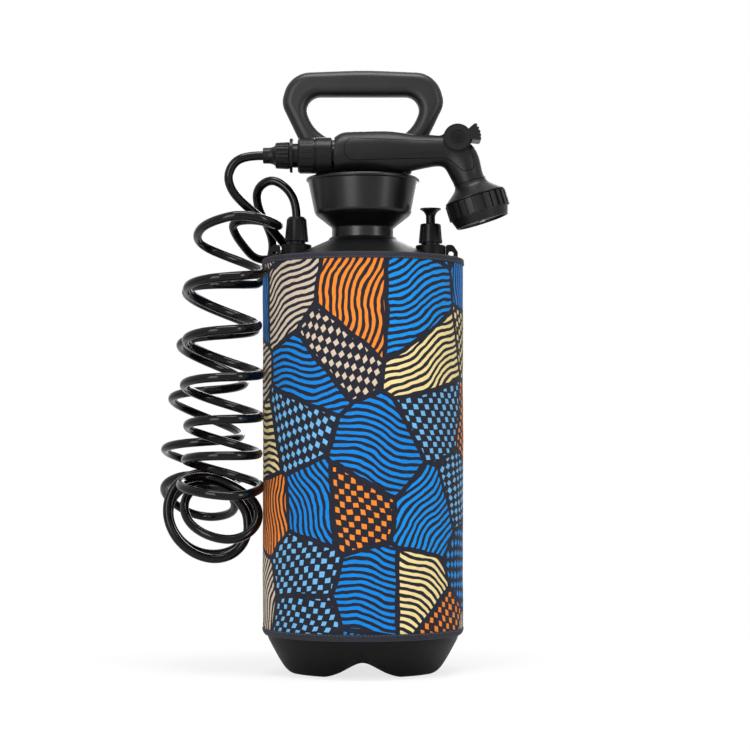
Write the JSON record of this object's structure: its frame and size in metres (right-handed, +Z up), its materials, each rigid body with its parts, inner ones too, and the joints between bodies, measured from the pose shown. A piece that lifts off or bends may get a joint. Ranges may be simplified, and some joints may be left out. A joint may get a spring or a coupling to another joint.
{
  "type": "portable shower",
  "caption": "Portable pressure shower: pump tank in a soft patterned sleeve, with filler bowl, curly hose and hand shower.",
  "frame": {"origin": "on the floor, on the tank's axis, between its four feet", "axes": "+Z up; +X towards the relief valve and the hand shower's head; -Y the front, where the hand shower lies"},
  "size_m": [0.334, 0.1912, 0.5691],
  "materials": {
    "tank_plastic": "black blow-moulded tank, fine matt grain",
    "bowl_plastic": "black injection-moulded bowl, satin gloss",
    "handle_plastic": "black handle with a soft sheen",
    "fitting_plastic": "black fittings and nuts",
    "hand_plastic": "black hand shower, satin",
    "inner_plastic": "natural plastic of the pump's inside",
    "seal_rubber": "black seals",
    "hose_plastic": "black curly hose",
    "sleeve_fabric": "soft sleeve, dark blue with a printed pattern",
    "binding_fabric": "dark grey binding",
    "spring_steel": "steel spring and screws"
  },
  "bodies": {
    "reservoir": {"tank": "tank_plastic", "neoprene_sleeve": "sleeve_fabric", "sleeve_top_binding": "binding_fabric", "sleeve_bottom_binding": "binding_fabric", "filler_bowl": "bowl_plastic", "pump_cap": "fitting_plastic", "cap_seal": "seal_rubber", "pump_cylinder": "inner_plastic", "check_valve": "seal_rubber", "outlet_seal": "seal_rubber", "outlet_connector": "fitting_plastic", "outlet_nut": "fitting_plastic", "dip_tube": "inner_plastic", "strainer": "inner_plastic", "relief_valve_body": "fitting_plastic", "relief_nut": "fitting_plastic", "relief_spring": "spring_steel", "hose_outlet_lead": "hose_plastic", "hose_coil": "hose_plastic", "hose_hand_lead": "hose_plastic"},
    "pump": {"pump_handle": "handle_plastic", "pump_rod": "inner_plastic", "piston": "inner_plastic", "piston_cup": "seal_rubber"},
    "relief": {"relief_knob": "fitting_plastic", "relief_seal": "seal_rubber"},
    "hand_shower": {"grip_body": "hand_plastic", "grip_panels": "hand_plastic", "head_cone": "hand_plastic", "dial_seal": "seal_rubber", "face_screw": "spring_steel", "inlet_adapter": "fitting_plastic", "adapter_seal": "seal_rubber", "coupling_core": "fitting_plastic", "locking_claws": "spring_steel", "hose_nut": "fitting_plastic", "hose_ferrule": "fitting_plastic"},
    "lever": {"flow_lever": "hand_plastic", "valve_spool": "inner_plastic", "spool_seals": "seal_rubber", "spool_screws": "spring_steel"},
    "dial": {"pattern_dial": "hand_plastic", "face_plate": "fitting_plastic"},
    "collar": {"release_collar": "fitting_plastic"}
  },
  "joints": [
    {"name": "pump_stroke", "type": "slide", "parent": "reservoir", "child": "pump", "axis": [0, 0, 1], "range_m": [0, 0.19]},
    {"name": "relief_pull", "type": "slide", "parent": "reservoir", "child": "relief", "axis": [0, 0, 1], "range_m": [0, 0.005], "stiffness_N_per_m": 900, "springref_m": -0.003, "deforming": ["relief_spring"]},
    {"name": "hand_shower_lift", "type": "slide", "parent": "reservoir", "child": "hand_shower", "axis": [0, 0, 1], "range_m": [0, 0.08]},
    {"name": "lever_turn", "type": "hinge", "parent": "hand_shower", "child": "lever", "pos_m": [0.0884, -0.03, 0.5001], "axis": [0, -1, 0], "range_deg": [0, 60]},
    {"name": "dial_turn", "type": "hinge", "parent": "hand_shower", "child": "dial", "pos_m": [0.1003, -0.03, 0.4605], "axis": [0.3007, 0, -0.9537], "continuous": true},
    {"name": "collar_pull", "type": "slide", "parent": "hand_shower", "child": "collar", "axis": [-1, 0, 0], "range_m": [0, 0.004], "stiffness_N_per_m": 1500, "springref_m": -0.003}
  ]
}
